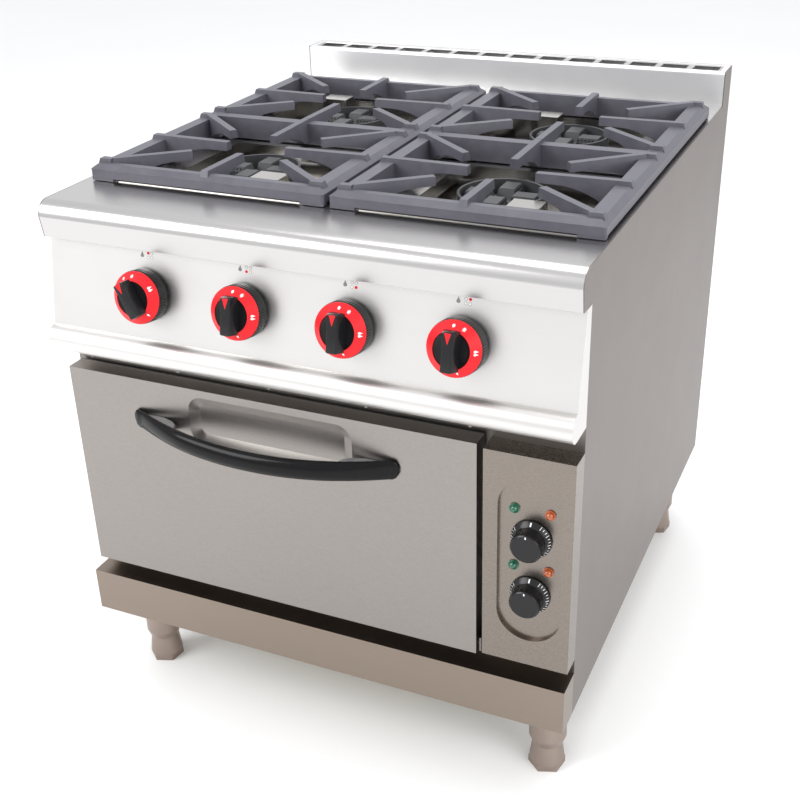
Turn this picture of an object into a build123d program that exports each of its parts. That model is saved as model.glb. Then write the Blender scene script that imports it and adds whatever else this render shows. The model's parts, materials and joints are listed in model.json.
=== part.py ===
"""Four-burner commercial gas range on an electric oven, built as separate pieces.

Origin on the floor under the middle of the body, +X to the right, +Y to the back, +Z up.
Millimetres throughout.
"""
from build123d import *
import os
from math import atan2, cos, degrees, hypot, radians, sin

# ---------------------------------------------------------------- driving dimensions
body_w = 800.0          # overall width
body_d = 900.0          # plinth front to back panel
deck_z = 850.0          # height of the hob deck
leg_h = 150.0           # floor to the underside of the plinth
plinth_h = 74.0
plinth_d = 46.0         # how far the plinth stands in front of the side panels
riser_h = 58.0          # backguard above the deck
riser_d = 59.0
sheet = 1.5             # stainless sheet
thin = 1.2              # lighter sheet for trays, pans and shields
fit = 0.3               # gap between pieces that are put together by hand
running = 0.05          # radial clearance of a turning or sliding fit

half_w = body_w / 2
front_y = -body_d / 2
back_y = body_d / 2
inner_w = body_w - 2 * sheet
plinth_top = leg_h + plinth_h
side_y = front_y + plinth_d             # front edge of the side panels
riser_y = back_y - riser_d
riser_z = deck_z + riser_h
hob_x = 4.0                             # burners, grates and knobs sit this far off centre

# Deck nose: a quarter roll, then a face that leans back to its lip
nose_r = 22.0
nose_out = 7.0                          # nose front ahead of the plinth front, inwards
nose_y = front_y + nose_out
nose_lean = 5.0
lip_z = deck_z - 53.0

# Control panel: leaning face with a half-round roll along its bottom
fascia_top_y = nose_y + 20.0
fascia_top_z = lip_z - 1.0
fascia_low_y = front_y + 3.0
roll_r = 20.0
roll_z = deck_z - 205.0                 # centre height of the roll
fascia_low_z = roll_z + roll_r
lean = atan2(fascia_top_y - fascia_low_y, fascia_top_z - fascia_low_z)

# Oven front
frame_t = 2.0
door_gap = 5.5                          # side panel to door, where the hinge plate goes
box_w = 127.0                           # oven control box at the right
box_x0 = half_w - box_w
door_x0 = -half_w + sheet + door_gap
door_x1 = box_x0 - 9.0
door_z0 = plinth_top + 22.0
door_z1 = roll_z - roll_r - 33.0
door_face_y = front_y + 10.5
gasket_t = 4.2
door_back_y = side_y - gasket_t - fit
box_z0 = door_z0 + 4.0
box_z1 = door_z1 - 5.0

# Oven cavity
cavity_x0 = door_x0 + 48.0
cavity_x1 = door_x1 - 47.0
cavity_z0 = door_z0 + 44.0
cavity_z1 = door_z1 - 32.0
cavity_d = 690.0
cavity_y0 = side_y + frame_t
cavity_y1 = cavity_y0 + cavity_d
mouth_flange = 12.0
wool_t = 30.0
wool_gap = 2.0

# Door swing
hinge_y = door_face_y + 15.5
hinge_z = door_z0 + 10.0
pin_r = 4.0
hinge_plate_t = 3.0

# Door handle: a bow with both ends on the door
handle_len = 435.0
handle_reach = 46.0                     # middle line of the bow in front of the door
handle_drop = 8.0                       # how far the middle hangs under the ends
handle_h = 31.0
handle_t = 20.0
handle_z = door_z1 - 63.0
door_mid_x = (door_x0 + door_x1) / 2
scoop_x = -52.5
scoop_len = 265.0
scoop_h = 78.0
scoop_r = 24.0
scoop_depth = 8.0
scoop_slope = 15.0                      # width of the sloping wall round the scoop's flat
scoop_up = 12.0                         # scoop centre above the handle's

# Grates
grate_w = 386.0
grate_l = 636.0
grate_pitch = 394.0
grate_y = -14.0                         # middle of each grate, front to back
section = grate_l / 4 + 1               # burner centre from the middle of the grate
corner_root = grate_l / 4 - 21          # corner fingers from the burner centre, front to back
grate_foot = 4.3
grate_seat = deck_z + thin              # on the tray flange
bar_z0 = grate_seat + grate_foot
bar_z1 = deck_z + 18.0
bar_top = deck_z + 25.0
bar_in = 20.0                           # front, middle and rear bars, outer to inner face
side_bar_in = 30.0
bar_bevel = 9.0
skirt_in = 13.0
skirt_z = deck_z - 8.0
finger_z = deck_z + 31.0
finger_t = 11.0                         # across the top
finger_base = 19.0                      # across the bottom, by the casting draft
finger_tip_h = 13.0
tip_ring = 50.0                         # mid finger tips from the burner centre
tip_x = 78.0
tip_y = 60.0

# Trays and burners
deck_cut_in = 10.0                      # deck opening inside the grate outline
plate_z = deck_z - 10.0
well_drop = 22.0
drip_z = deck_z - 44.0
cup_r = 64.0
cup_top = deck_z - 3.0
head_r = 56.0
head_top = deck_z - 4.0
chamber_r = 26.0
mixer_r = 12.0
mixer_z = drip_z - 16.0

# Gas knobs
knob_pitch = 158.5
knob_up = 66.0                          # knob centre up the leaning face
knob_gap = 5.5                          # knob back to the panel
knob_r = 38.6
ring_r = 37.5
ring_low = 27.0
ring_in_r = 25.0
ring_high = 37.0
ring_t = 1.2
grip_len = 54.0
grip_w = 18.0
grip_out = 52.0
spindle_r = 4.0
push = 4.0
spindle_out = 24.0                      # spindle end in front of the panel
knob_hollow = 17.0                      # depth of the hollow behind the knob
knob_wall = 3.5
knob_boss_r = 9.0
knob_turned = (33.0, 0.0, 0.0, 0.0)     # the left knob stands part way open

# Oven thermostat knobs and lamps
dial_x = box_x0 + 68.0
dial_zs = (deck_z - 391.0, deck_z - 482.0)
dial_r = 29.0
dial_cap_r = 23.0
dial_skirt = 8.0
dial_out = 29.0
dial_spindle_r = 3.0
lamp_r = 6.0
lamp_dx = 25.0
lamp_up = 43.0
recess_w = 92.0
recess_h = 260.0
recess_depth = 6.0
recess_up = 8.5                         # recess centre above the middle of the two dials

# Legs
leg_x = 351.0
leg_y = 357.0
sleeve_r = 29.0
sleeve_low = 45.0
foot_r = 27.5
foot_neck_r = 24.0
stem_r = 10.0

# Gas inlet
pipe_r = 10.65
inlet_r = 13.2
inlet_x = half_w - 28.0

os.makedirs("parts", exist_ok=True)


def save(builder, name):
    """Label a finished piece and write it as its own STEP file."""
    builder.part.label = name
    export_step(builder.part, f"parts/{name}.step")


def block(x, y, z, mode=Mode.ADD):
    """Box between the low and high value on each axis."""
    with Locations(((x[0] + x[1]) / 2, (y[0] + y[1]) / 2, (z[0] + z[1]) / 2)):
        Box(x[1] - x[0], y[1] - y[0], z[1] - z[0], mode=mode)


def rod(start, end, radius, mode=Mode.ADD):
    """Round bar between two points."""
    run = Vector(*end) - Vector(*start)
    with BuildSketch(Plane(origin=start, z_dir=run.normalized())) as disc:
        Circle(radius)
    extrude(disc.sketch, amount=run.length, mode=mode)


# ================================================================ base and casing
tube = 30.0
base_y0 = side_y + frame_t
base_y1 = back_y - sheet - 2 * fit
corner = 110.0
corner_t = 4.0
tube_z0 = leg_h + corner_t
tube_z1 = tube_z0 + tube
base_x = half_w - sheet - 2 * fit

with BuildPart() as base_frame:
    block((-base_x, base_x), (base_y0, base_y1), (tube_z0, tube_z1))
    block(
        (-base_x + tube, base_x - tube), (base_y0 + tube, base_y1 - tube), (tube_z0, tube_z1), Mode.SUBTRACT,
    )
    for sx in (-1, 1):
        for y0, y1 in ((base_y0, base_y0 + corner), (base_y1 - corner, base_y1)):
            xs = sorted((sx * base_x, sx * (base_x - corner)))
            block(xs, (y0, y1), (leg_h, tube_z0))
save(base_frame, "base_frame")

with BuildPart() as front_plinth:
    block((-half_w, half_w), (front_y, side_y - fit), (leg_h, plinth_top))
    block(
        (-half_w + sheet, half_w - sheet),
        (front_y + sheet, side_y),
        (leg_h + sheet, plinth_top - sheet),
        Mode.SUBTRACT,
    )
    block(
        (-half_w + 2 * sheet, half_w - 2 * sheet),
        (front_y + 16, side_y),
        (leg_h, leg_h + sheet),
        Mode.SUBTRACT,
    )
save(front_plinth, "front_plinth")


def nose_line(grow=0.0):
    """Deck line from the riser forward, over the roll and down to the lip."""
    flat_y = nose_y + nose_r
    mid = radians(45)
    radius = nose_r + grow
    centre_z = deck_z - nose_r
    start = Line((riser_y, deck_z + grow), (flat_y, deck_z + grow))
    ThreePointArc(
        start @ 1, (flat_y - radius * sin(mid), centre_z + radius * cos(mid)), (nose_y - grow, centre_z),
    )
    Line((nose_y - grow, centre_z), (nose_y + nose_lean - grow, lip_z))


def side_panel(x0):
    """Flat side with the nose, the deck line and the riser end in one sheet."""
    with BuildPart() as panel:
        with BuildSketch(Plane.YZ.offset(x0)):
            with BuildLine():
                nose_line()
                Polyline(
                    (nose_y + nose_lean, lip_z),
                    (side_y, lip_z),
                    (side_y, leg_h),
                    (back_y, leg_h),
                    (back_y, riser_z),
                    (riser_y, riser_z),
                    (riser_y, deck_z),
                )
            make_face()
        extrude(amount=sheet)
    return panel


save(side_panel(-half_w), "side_panel_left")
save(side_panel(half_w - sheet), "side_panel_right")

gland_x = half_w - 90.0
gland_z = plinth_top + 76.0
gland_r = 10.0
manifold_w = -66.0                      # manifold centre behind the panel, along the knob axis
knob_y = fascia_low_y + knob_up * sin(lean)
knob_z = fascia_low_z + knob_up * cos(lean)
manifold_y = knob_y - manifold_w * cos(lean)
manifold_z = knob_z + manifold_w * sin(lean)
manifold_r = 12.0

with BuildPart() as back_panel:
    block((-half_w + sheet, half_w - sheet), (back_y - sheet, back_y), (tube_z0, riser_z))
    for x, z, r in ((inlet_x, manifold_z, inlet_r + 2), (gland_x, gland_z, gland_r)):
        rod((x, back_y - 2 * sheet, z), (x, back_y + sheet, z), r, Mode.SUBTRACT)
    slots = Plane(origin=(0, back_y - 2 * sheet, tube_z1 + 60), x_dir=(1, 0, 0), z_dir=(0, -1, 0))
    with BuildSketch(slots):
        with GridLocations(90, 14, 7, 4):
            SlotOverall(70, 5)
    extrude(amount=-3 * sheet, mode=Mode.SUBTRACT)
save(back_panel, "back_panel")

with BuildPart() as front_frame:
    block((-half_w + sheet, half_w - sheet), (side_y, side_y + frame_t), (tube_z1, roll_z - roll_r - fit))
    block((cavity_x0, cavity_x1), (side_y, side_y + frame_t), (cavity_z0, cavity_z1), Mode.SUBTRACT)
    block((box_x0 + 12, half_w - 12), (side_y, side_y + frame_t), (box_z0 + 15, box_z1 - 12), Mode.SUBTRACT)
save(front_frame, "front_frame")

# ================================================================ hob
grate_xs = (hob_x - grate_pitch / 2, hob_x + grate_pitch / 2)
cut_w = grate_w - 2 * deck_cut_in
cut_l = grate_l - 2 * deck_cut_in

with BuildPart() as hob_top:
    with BuildSketch(Plane.YZ.offset(-inner_w / 2)):
        with BuildLine():
            nose_line()
            Polyline(
                (nose_y + nose_lean, lip_z), (fascia_top_y + 14, lip_z), (fascia_top_y + 14, lip_z + sheet),
            )
            Line((fascia_top_y + 14, lip_z + sheet), (nose_y + nose_lean + sheet, lip_z + sheet))
            Line((nose_y + nose_lean + sheet, lip_z + sheet), (nose_y + sheet, deck_z - nose_r))
            mid_y = nose_y + nose_r - (nose_r - sheet) * sin(radians(45))
            mid_z = deck_z - nose_r + (nose_r - sheet) * cos(radians(45))
            ThreePointArc(
                (nose_y + sheet, deck_z - nose_r), (mid_y, mid_z), (nose_y + nose_r, deck_z - sheet),
            )
            Polyline((nose_y + nose_r, deck_z - sheet), (riser_y, deck_z - sheet), (riser_y, deck_z))
        make_face()
    extrude(amount=inner_w)
    with BuildSketch(Plane.XY.offset(deck_z)):
        with Locations(*[(x, grate_y) for x in grate_xs]):
            Rectangle(cut_w, cut_l)
    extrude(amount=-2 * sheet, mode=Mode.SUBTRACT)
save(hob_top, "hob_top")

# Wells under each burner: longer on the outer side, turned half round between front and rear
well_near = 112.0
well_far = 146.0
well_y = 128.0
tray_rest = 3.0                         # tray flange on the deck


def wells(centre_x):
    """Low and high x and y of the two wells in one tray, front first."""
    front, rear = grate_y - section, grate_y + section
    return (
        ((centre_x - well_near, centre_x + well_far), (front - well_y, front + well_y)),
        ((centre_x - well_far, centre_x + well_near), (rear - well_y, rear + well_y)),
    )


def spill_tray(centre_x):
    """Tray that hangs in the deck opening, with a flanged well round each burner."""
    wall_x = cut_w / 2 - fit
    wall_y = cut_l / 2 - fit
    low = plate_z - thin
    with BuildPart() as tray:
        for half_x, half_y, z0, z1 in (
            (wall_x + tray_rest, wall_y + tray_rest, deck_z, deck_z + thin),
            (wall_x, wall_y, low, deck_z),
        ):
            block((centre_x - half_x, centre_x + half_x), (grate_y - half_y, grate_y + half_y), (z0, z1))
        x_in, y_in = wall_x - thin, wall_y - thin
        block(
            (centre_x - x_in, centre_x + x_in),
            (grate_y - y_in, grate_y + y_in),
            (plate_z, deck_z + thin),
            Mode.SUBTRACT,
        )
        for xs, ys in wells(centre_x):
            block((xs[0] - thin, xs[1] + thin), (ys[0] - thin, ys[1] + thin), (plate_z - well_drop, plate_z))
            block(xs, ys, (plate_z - well_drop, plate_z), Mode.SUBTRACT)
    return tray


burner_spots = [(x, grate_y + s * section) for x in grate_xs for s in (-1, 1)]
pan_x = 158.0
pan_y = 302.0

with BuildPart() as drip_pans:
    for x in grate_xs:
        block((x - pan_x, x + pan_x), (grate_y - pan_y, grate_y + pan_y), (drip_z - thin, plate_z - thin))
        inside = (x - pan_x + thin, x + pan_x - thin)
        block(inside, (grate_y - pan_y + thin, grate_y + pan_y - thin), (drip_z, plate_z), Mode.SUBTRACT)
    with BuildSketch(Plane.XY.offset(drip_z)):
        with Locations(*burner_spots):
            Circle(chamber_r + 2)
    extrude(amount=-2 * thin, mode=Mode.SUBTRACT)
save(drip_pans, "drip_pans")

for side, x in zip(("left", "right"), grate_xs):
    save(spill_tray(x), f"spill_tray_{side}")

# ---------------------------------------------------------------- burners
cup_wall = 4.0
cup_floor = 6.0
cup_flange = 1.5                        # how far the cup's flange stands out
flange_t = 3.0
mixer_wall = 2.0
mixer_mouth = 40.0                      # bored length at the open end of the mixer tube
wide_turn, tight_turn = 24.0, 12.0      # bend radius of a mixer tube
knob_xs = [hob_x + (i - 1.5) * knob_pitch for i in range(4)]
mouth_y = manifold_y - 14.0
burner_feed = list(zip(burner_spots, (knob_xs[1], knob_xs[0], knob_xs[2], knob_xs[3])))

with BuildPart() as burner_bodies:
    for (bx, by), feed_x in burner_feed:
        with BuildSketch(Plane.XY.offset(drip_z)):
            with Locations((bx, by)):
                Circle(cup_r + cup_flange)
        extrude(amount=flange_t)
        with BuildSketch(Plane.XY.offset(drip_z)):
            with Locations((bx, by)):
                Circle(cup_r)
        extrude(amount=cup_top - drip_z)
        with BuildSketch(Plane.XY.offset(drip_z + cup_floor)):
            with Locations((bx, by)):
                Circle(cup_r - cup_wall)
        extrude(amount=cup_top - drip_z, mode=Mode.SUBTRACT)
        chamber_low = mixer_z - mixer_r - flange_t
        with BuildSketch(Plane.XY.offset(chamber_low)):
            with Locations((bx, by)):
                Circle(chamber_r)
        extrude(amount=drip_z - chamber_low)
        turn = wide_turn if abs(feed_x - bx) > wide_turn + mixer_r else tight_turn
        with BuildLine():
            FilletPolyline((feed_x, mouth_y, mixer_z), (feed_x, by, mixer_z), (bx, by, mixer_z), radius=turn)
        with BuildSketch(Plane(origin=(feed_x, mouth_y, mixer_z), x_dir=(1, 0, 0), z_dir=(0, 1, 0))):
            Circle(mixer_r)
        sweep()
        rod(
            (feed_x, mouth_y, mixer_z),
            (feed_x, mouth_y + mixer_mouth, mixer_z),
            mixer_r - mixer_wall,
            Mode.SUBTRACT,
        )
save(burner_bodies, "burner_bodies")

arm_w = 32.0
arm_gap = 14.0                          # inner end of each arm from the centre
arm_z0 = head_top - 17.0
stem_head_r = 15.0
disc_r = 34.0
arm_draft = 16.0

with BuildPart() as burner_heads:
    for bx, by in burner_spots:
        for radius, z0, z1 in ((stem_head_r, drip_z + cup_floor, arm_z0), (disc_r, arm_z0 - 5, arm_z0 + 3)):
            with BuildSketch(Plane.XY.offset(z0)):
                with Locations((bx, by)):
                    Circle(radius)
            extrude(amount=z1 - z0)
        with BuildSketch(Plane.XY.offset(arm_z0)):
            with Locations((bx, by)):
                with PolarLocations((head_r + arm_gap) / 2, 4):
                    Rectangle(head_r - arm_gap, arm_w)
        extrude(amount=head_top - arm_z0, taper=arm_draft)
save(burner_heads, "burner_heads")

shield_dx = 60.0
shield_dy = section - 88.0
shield_w = 46.0
shield_d = 34.0
shield_z = deck_z + 8.0

with BuildPart() as pilot_shields:
    for bx, by in burner_spots:
        s = 1 if by < grate_y else -1
        cx, cy = bx + s * shield_dx, by - s * shield_dy
        block(
            (cx - shield_w / 2, cx + shield_w / 2),
            (cy - shield_d / 2, cy + shield_d / 2),
            (drip_z, shield_z),
        )
        legs_in = (cx - shield_w / 2 + thin, cx + shield_w / 2 - thin)
        block(legs_in, (cy - shield_d / 2, cy + shield_d / 2), (drip_z, shield_z - thin), Mode.SUBTRACT)
save(pilot_shields, "pilot_shields")


# ---------------------------------------------------------------- grates
def finger(root, tip, inner=None):
    """Upright finger: hump on the frame bar, straight top, blunt tip, arched underside.

    It is drafted to be wider at the bottom. inner is the bar's inner face from the root;
    with none given, only the hump is made.
    """
    run = hypot(tip[0] - root[0], tip[1] - root[1])
    across = Vector(tip[0] - root[0], tip[1] - root[1], 0).normalized()
    side = Plane(origin=(root[0], root[1], 0), x_dir=across, z_dir=across.cross(Vector(0, 0, 1)))
    low = finger_z - 1 - finger_tip_h
    base = skirt_z + 4
    with BuildPart() as web:
        with BuildSketch(side):
            with BuildLine():
                if inner is None:
                    Polyline(
                        (run, bar_z0 + 2),
                        (3, bar_z0 + 2),
                        (3, bar_z1),
                        (0, bar_z1),
                        (5, finger_z),
                        (run, finger_z),
                    )
                    Line((run, finger_z), (run, bar_z0 + 2))
                else:
                    foot, step, end = inner + 14.0, inner - 4.0, run * 0.8
                    Polyline(
                        (foot, base),
                        (step, base),
                        (step, bar_z0 + 2),
                        (3, bar_z0 + 2),
                        (3, bar_z1),
                        (0, bar_z1),
                    )
                    Polyline((0, bar_z1), (5, finger_z), (run, finger_z - 1), (run, low), (end, low))
                    ThreePointArc(
                        (end, low), (foot + (end - foot) * 0.4, low - (low - base) * 0.33), (foot, base),
                    )
            make_face()
        extrude(amount=finger_base, both=True)
        with BuildSketch(
            Plane(origin=(root[0], root[1], 0), x_dir=Vector(0, 0, 1).cross(across), z_dir=across),
        ):
            with BuildLine():
                half_low, half_top = finger_base / 2, finger_t / 2
                Polyline(
                    (-half_low, base),
                    (half_low, base),
                    (half_top, finger_z),
                    (-half_top, finger_z),
                    (-half_low, base),
                )
            make_face()
        extrude(amount=run, mode=Mode.INTERSECT)
    return web.part


def grate_fingers(centre_x):
    """The sixteen fingers of one grate; corner ones leave the side bars square, then turn in."""
    root_x = grate_w / 2 - 4
    fingers = []
    for s in (-1, 1):
        cy = grate_y + s * section
        for sx in (-1, 1):
            for sy in (-1, 1):
                bend = (centre_x + sx * (root_x - side_bar_in + 8), cy + sy * corner_root)
                fingers.append(
                    finger((bend[0] + sx * 4, bend[1]), (centre_x + sx * tip_x, cy + sy * tip_y), 12.0),
                )
                fingers.append(finger((centre_x + sx * root_x, bend[1]), (bend[0] - sx * 2, bend[1])))
            fingers.append(
                finger((centre_x + sx * root_x, cy), (centre_x + sx * tip_ring, cy), side_bar_in - 4),
            )
        outer_y = grate_y + s * (grate_l / 2 - 4)
        fingers.append(finger((centre_x, outer_y), (centre_x, cy + s * tip_ring), bar_in - 4))
        fingers.append(finger((centre_x, grate_y - s * 4), (centre_x, cy - s * tip_ring), bar_in - 4))
    return fingers


def grate(centre_x):
    """Cast grate over two burners: frame, middle bar and sixteen fingers."""
    half_x, half_y = grate_w / 2, grate_l / 2
    fingers = grate_fingers(centre_x)
    with BuildPart() as casting:
        with BuildSketch(Plane.XY.offset(bar_z0)):
            with Locations((centre_x, grate_y)):
                RectangleRounded(grate_w, grate_l, 4)
        extrude(amount=bar_z1 - bar_z0)
        with BuildSketch(Plane.XY.offset(bar_z1)):
            with Locations((centre_x, grate_y)):
                Rectangle(grate_w - 1, grate_l - 1)
        extrude(amount=bar_top - bar_z1, taper=degrees(atan2(bar_bevel, bar_top - bar_z1)))
        with BuildSketch(Plane.XY.offset(skirt_z)):
            with Locations((centre_x, grate_y)):
                Rectangle(grate_w - 2 * skirt_in, grate_l - 2 * skirt_in)
        extrude(amount=bar_z0 - skirt_z)
        open_l = (grate_l - 3 * bar_in) / 2
        with BuildSketch(Plane.XY.offset(bar_top)):
            with Locations(*[(centre_x, grate_y + s * (open_l + bar_in) / 2) for s in (-1, 1)]):
                Rectangle(grate_w - 2 * side_bar_in, open_l)
        extrude(amount=skirt_z - bar_top, taper=5, mode=Mode.SUBTRACT)
        for piece in fingers:
            add(piece)
        for sx in (-1, 1):
            for sy in (-1, 1):
                foot_x = sorted((centre_x + sx * (half_x - 1), centre_x + sx * (half_x - 38)))
                foot_y = sorted((grate_y + sy * (half_y - 1), grate_y + sy * (half_y - 12)))
                block(foot_x, foot_y, (grate_seat, bar_z0))
    return casting


for side, x in zip(("left", "right"), grate_xs):
    save(grate(x), f"grate_{side}")

# ================================================================ backguard
flue_in = 9.0
grille_t = 3.0
grille_w = inner_w - 2 * flue_in
grille_d = riser_d - sheet - 2 * flue_in
slot_n = 14

with BuildPart() as backguard:
    block((-inner_w / 2, inner_w / 2), (riser_y, back_y - sheet), (deck_z, riser_z))
    outer = backguard.edges().filter_by(Axis.X).group_by(Axis.Z)[-1].sort_by(Axis.Y)[0]
    fillet(outer, radius=5)
    hollow_y = (riser_y + sheet, back_y - 2 * sheet)
    block((-inner_w / 2 + sheet, inner_w / 2 - sheet), hollow_y, (deck_z, riser_z - sheet), Mode.SUBTRACT)
    mid_y = (riser_y + back_y - sheet) / 2
    block(
        (-grille_w / 2, grille_w / 2),
        (mid_y - grille_d / 2, mid_y + grille_d / 2),
        (riser_z - 2 * sheet, riser_z),
        Mode.SUBTRACT,
    )
save(backguard, "backguard")

with BuildPart() as flue_grille:
    rim = 6.0
    z1 = riser_z - sheet
    block(
        (-grille_w / 2 - rim, grille_w / 2 + rim),
        (mid_y - grille_d / 2 - rim, mid_y + grille_d / 2 + rim),
        (z1 - grille_t, z1),
    )
    pitch = grille_w / slot_n
    with BuildSketch(Plane.XY.offset(z1)):
        with Locations((0, mid_y)):
            with GridLocations(pitch, 0, slot_n, 1):
                Rectangle(pitch - 11, grille_d - 6)
    extrude(amount=-2 * grille_t, mode=Mode.SUBTRACT)
save(flue_grille, "flue_grille")

# ================================================================ control panel
def panel_line(inset):
    """Control panel outline in a side view, drawn in by a sheet thickness for the hollow."""
    back = side_y - fit if inset == 0 else side_y
    top, low = fascia_top_z - inset, roll_z - roll_r + inset
    start = Polyline(
        (back, low), (back, top), (fascia_top_y + inset, top), (fascia_low_y + inset, fascia_low_z),
    )
    corner = Line(start @ 1, (fascia_low_y, fascia_low_z - inset)) if inset else start
    ThreePointArc(corner @ 1, (fascia_low_y - roll_r + inset, roll_z), (fascia_low_y, low))
    Line((fascia_low_y, low), (back, low))


knob_planes = [
    Plane(origin=(x, knob_y, knob_z), x_dir=(1, 0, 0), z_dir=(0, -cos(lean), sin(lean))) for x in knob_xs
]

with BuildPart() as control_panel:
    with BuildSketch(Plane.YZ.offset(-half_w)):
        with BuildLine():
            panel_line(0)
        make_face()
    extrude(amount=body_w)
    with BuildSketch(Plane.YZ.offset(-half_w + sheet)):
        with BuildLine():
            panel_line(sheet)
        make_face()
    extrude(amount=inner_w, mode=Mode.SUBTRACT)
    for plane in knob_planes:
        with BuildSketch(plane):
            Circle(spindle_r + 2)
        extrude(amount=10, both=True, mode=Mode.SUBTRACT)
save(control_panel, "control_panel")

screw_n = 5
screw_pitch = 149.0
screw_inset = 62.0                      # first screw from the left side
screw_head_r = 3.4
screw_head_h = 3.0
dome_h = 1.5
screw_z = roll_z - roll_r

with BuildPart() as control_panel_screws:
    for i in range(screw_n):
        x = -half_w + screw_inset + i * screw_pitch
        head_z = screw_z - screw_head_h
        rod((x, fascia_low_y, screw_z), (x, fascia_low_y, head_z), screw_head_r)
        rod((x, fascia_low_y, head_z), (x, fascia_low_y, head_z - dome_h), screw_head_r - 1)
save(control_panel_screws, "control_panel_screws")

# ---------------------------------------------------------------- gas train
with BuildPart() as gas_manifold:
    rod((knob_xs[0] - 50, manifold_y, manifold_z), (inlet_x - 30, manifold_y, manifold_z), manifold_r)
    rod(
        (knob_xs[0] - 47, manifold_y, manifold_z),
        (inlet_x - 30, manifold_y, manifold_z),
        manifold_r - 2.5,
        Mode.SUBTRACT,
    )
save(gas_manifold, "gas_manifold")

bow_front = door_face_y - handle_reach - handle_t / 2
inlet_end = -bow_front

with BuildPart() as gas_inlet_pipe:
    bend = (inlet_x, manifold_y, manifold_z)
    with BuildLine():
        FilletPolyline(
            (inlet_x - 30, manifold_y, manifold_z), bend, (inlet_x, back_y + 6, manifold_z), radius=24,
        )
    with BuildSketch(Plane(origin=(inlet_x - 30, manifold_y, manifold_z), x_dir=(0, 1, 0), z_dir=(1, 0, 0))):
        Circle(pipe_r)
    sweep()
    rod((inlet_x, back_y + 6, manifold_z), (inlet_x, inlet_end, manifold_z), inlet_r)
    rod((inlet_x, back_y - 40, manifold_z), (inlet_x, inlet_end, manifold_z), pipe_r - 2.5, Mode.SUBTRACT)
save(gas_inlet_pipe, "gas_inlet_pipe")

valve_front = -28.0
valve_bore = -50.0
spindle_clear = 4.0                     # spindle end to the valve's floor when pushed
valve_r = 13.0
outlet = -42.0                          # gas outlet, along the knob axis
outlet_r = 5.0
jet_r = 5.5

with BuildPart() as gas_valves:
    for plane, x in zip(knob_planes, knob_xs):
        with BuildSketch(plane.offset(valve_front)):
            Circle(valve_r)
        extrude(amount=manifold_w - valve_front + manifold_r + fit)
        rise = plane.offset(outlet).origin
        rod((x, rise.Y, rise.Z), (x, rise.Y, mixer_z + outlet_r + 1), outlet_r)
        rod((x, rise.Y, mixer_z), (x, mouth_y - fit, mixer_z), jet_r)
        with BuildSketch(plane.offset(valve_front)):
            Circle(spindle_r + running)
        extrude(amount=valve_bore - valve_front, mode=Mode.SUBTRACT)
save(gas_valves, "gas_valves")


def spindle(plane):
    """Round valve spindle, from inside the valve to inside the knob."""
    with BuildPart() as rod_part:
        with BuildSketch(plane.offset(valve_bore + push + spindle_clear)):
            Circle(spindle_r)
        extrude(amount=spindle_out - valve_bore - push - spindle_clear)
    return rod_part


def gas_knob(plane, turned):
    """Skirted knob with a bar grip, hollow behind, bored for its spindle."""
    axis = Axis(plane.origin, plane.z_dir)
    side = Plane(origin=plane.origin, x_dir=plane.x_dir, z_dir=plane.y_dir * -1)
    with BuildPart() as knob:
        with BuildSketch(side):
            with BuildLine():
                Polyline(
                    (0, knob_gap),
                    (knob_r, knob_gap),
                    (ring_r, ring_low - ring_t),
                    (ring_r - 0.5, ring_low - ring_t),
                    (ring_in_r, ring_high - ring_t),
                    (ring_in_r - 1, ring_high - 3),
                    (0, ring_high - 3),
                    (0, knob_gap),
                )
            make_face()
        revolve(axis=axis)
        with BuildSketch(plane.offset(ring_high - 4)):
            SlotOverall(2 * ring_in_r - 3, grip_w, rotation=90 + turned)
        extrude(amount=6)
        with BuildSketch(plane.offset(ring_high + fit)):
            SlotOverall(grip_len, grip_w, rotation=90 + turned)
        extrude(amount=grip_out - ring_high - fit, taper=3)
        with BuildSketch(plane.offset(knob_gap)):
            Circle(ring_r - knob_wall)
            Circle(knob_boss_r, mode=Mode.SUBTRACT)
        extrude(amount=knob_hollow, mode=Mode.SUBTRACT)
        with BuildSketch(plane.offset(knob_gap)):
            Circle(spindle_r + running)
        extrude(amount=spindle_out - knob_gap + 1, mode=Mode.SUBTRACT)
    return knob


def knob_ring(plane):
    """Printed cone ring that clips on the knob."""
    axis = Axis(plane.origin, plane.z_dir)
    side = Plane(origin=plane.origin, x_dir=plane.x_dir, z_dir=plane.y_dir * -1)
    with BuildPart() as ring:
        with BuildSketch(side):
            with BuildLine():
                Polyline(
                    (ring_r - 0.5, ring_low - ring_t),
                    (ring_r, ring_low - ring_t),
                    (ring_r, ring_low),
                    (ring_in_r, ring_high),
                    (ring_in_r, ring_high - ring_t),
                    (ring_r - 0.5, ring_low - ring_t),
                )
            make_face()
        revolve(axis=axis)
    return ring


for i, plane in enumerate(knob_planes, start=1):
    save(spindle(plane), f"valve_spindle_{i}")
    save(gas_knob(plane, knob_turned[i - 1]), f"gas_knob_{i}")
    save(knob_ring(plane), f"knob_ring_{i}")

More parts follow.
